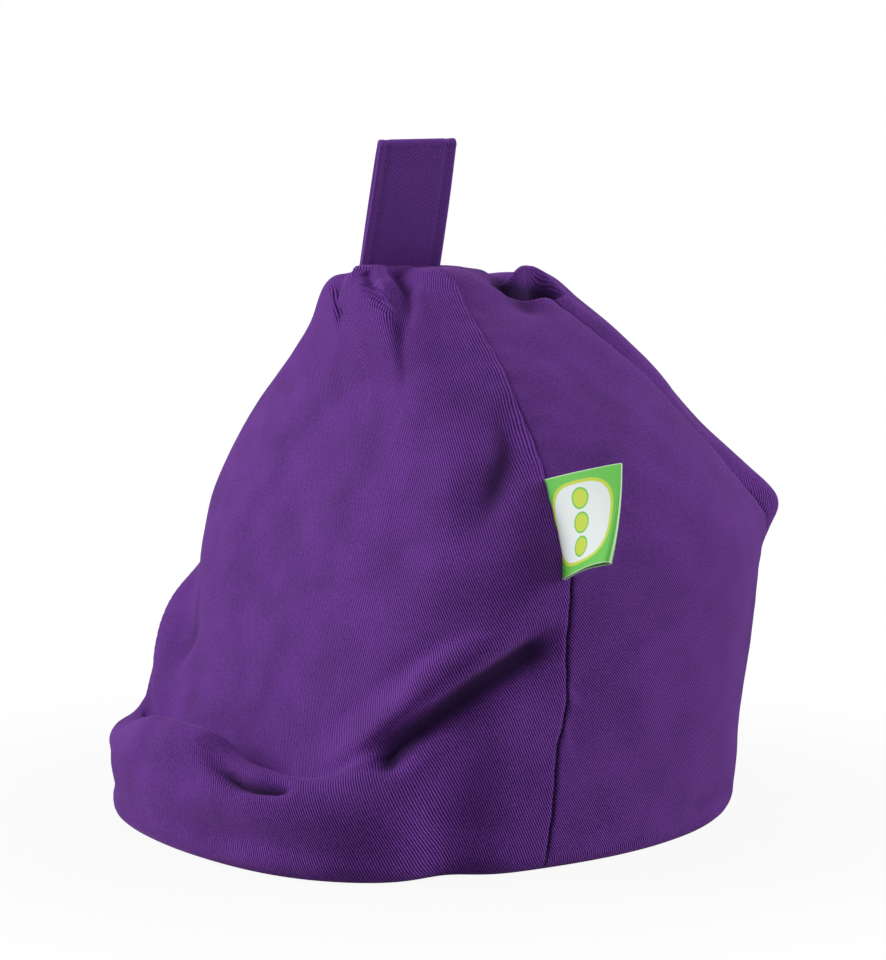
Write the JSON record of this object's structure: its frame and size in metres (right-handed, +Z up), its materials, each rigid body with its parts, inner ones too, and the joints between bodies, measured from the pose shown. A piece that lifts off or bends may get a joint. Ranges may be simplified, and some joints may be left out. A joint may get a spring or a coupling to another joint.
{
  "type": "tablet cushion stand",
  "caption": "Small stuffed cloth bag with a leaning front, a padded lip to hold a screen's lower edge, a carry strap and a side label.",
  "frame": {"origin": "middle of the flat base that the bag rests on", "axes": "+Z up, -Y towards the front, where the lip is, and +X towards the side with the label"},
  "size_m": [0.2741, 0.2661, 0.2701],
  "materials": {
    "bag_cloth": "matt cotton twill with a soft sheen at grazing angles",
    "strap_cloth": "matt cotton twill, pressed flat and stitched along both edges",
    "label_ribbon": "smooth printed ribbon"
  },
  "bodies": {
    "root": {"bag_body": "bag_cloth", "carry_handle": "strap_cloth", "side_label": "label_ribbon"}
  },
  "joints": []
}
